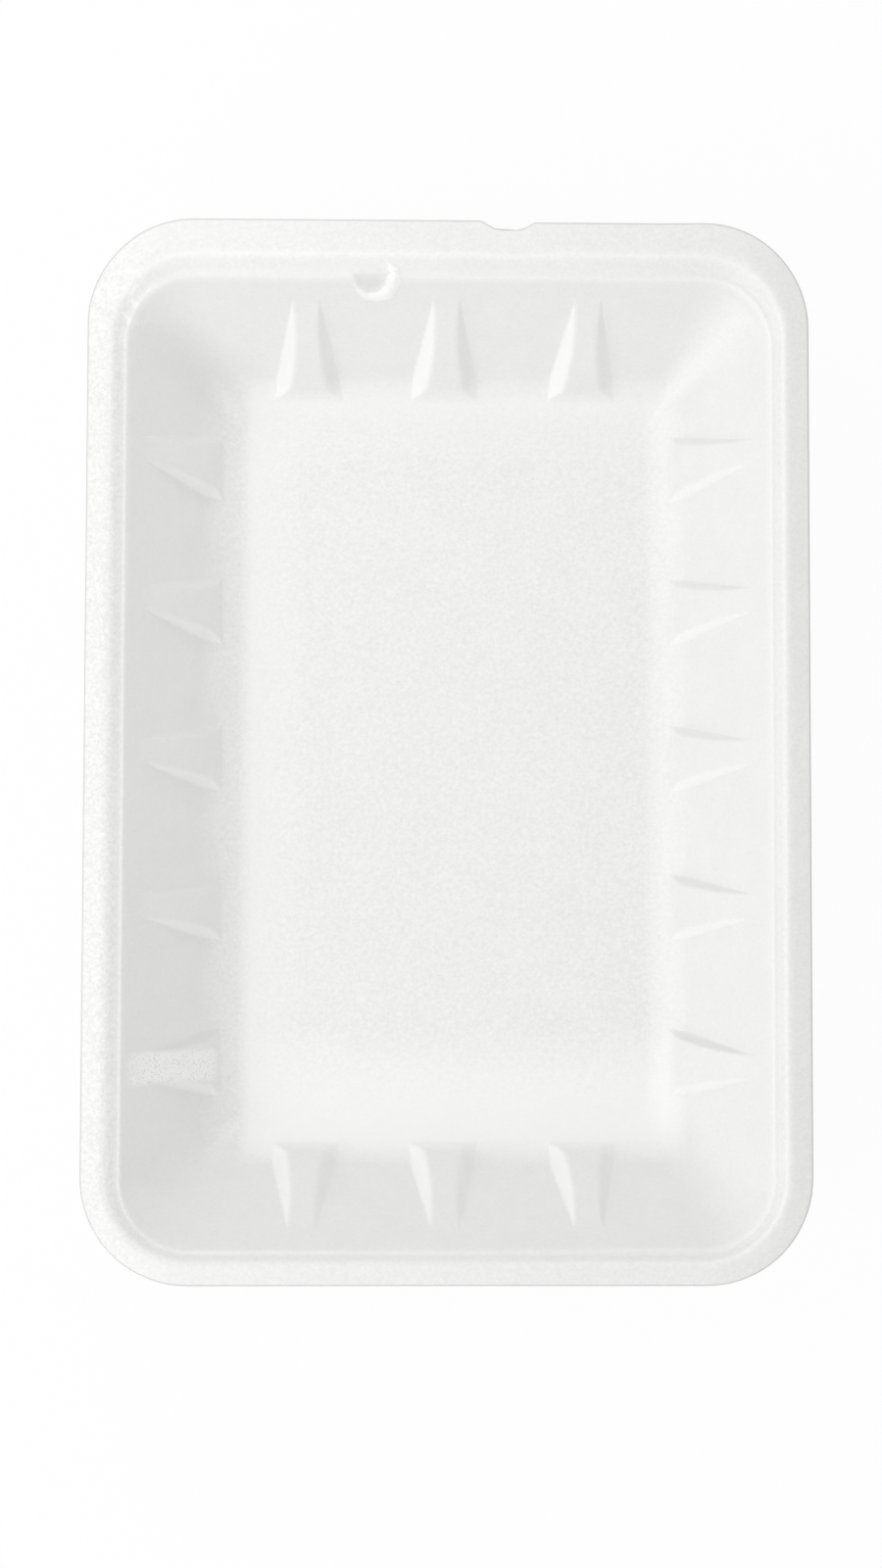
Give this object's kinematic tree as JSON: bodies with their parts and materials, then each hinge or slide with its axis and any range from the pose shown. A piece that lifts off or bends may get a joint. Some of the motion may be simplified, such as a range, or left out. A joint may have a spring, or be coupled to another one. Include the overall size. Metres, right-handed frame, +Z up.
{
  "type": "foam tray",
  "caption": "Shallow oblong white foam food tray with a rolled rim, sloping walls stiffened by tapered ribs, and a flat base",
  "frame": {"origin": "under the middle of the trimmed outline, on the surface that the base stands on", "axes": "+X across the tray, +Y along it towards the end with the chipped edge, +Z up out of the well"},
  "size_m": [0.15, 0.22, 0.035],
  "materials": {
    "foam": "white extruded polystyrene foam, thermoformed, satin skin with a fine closed-cell grain"
  },
  "bodies": {
    "root": {"tray": "foam"}
  },
  "joints": []
}
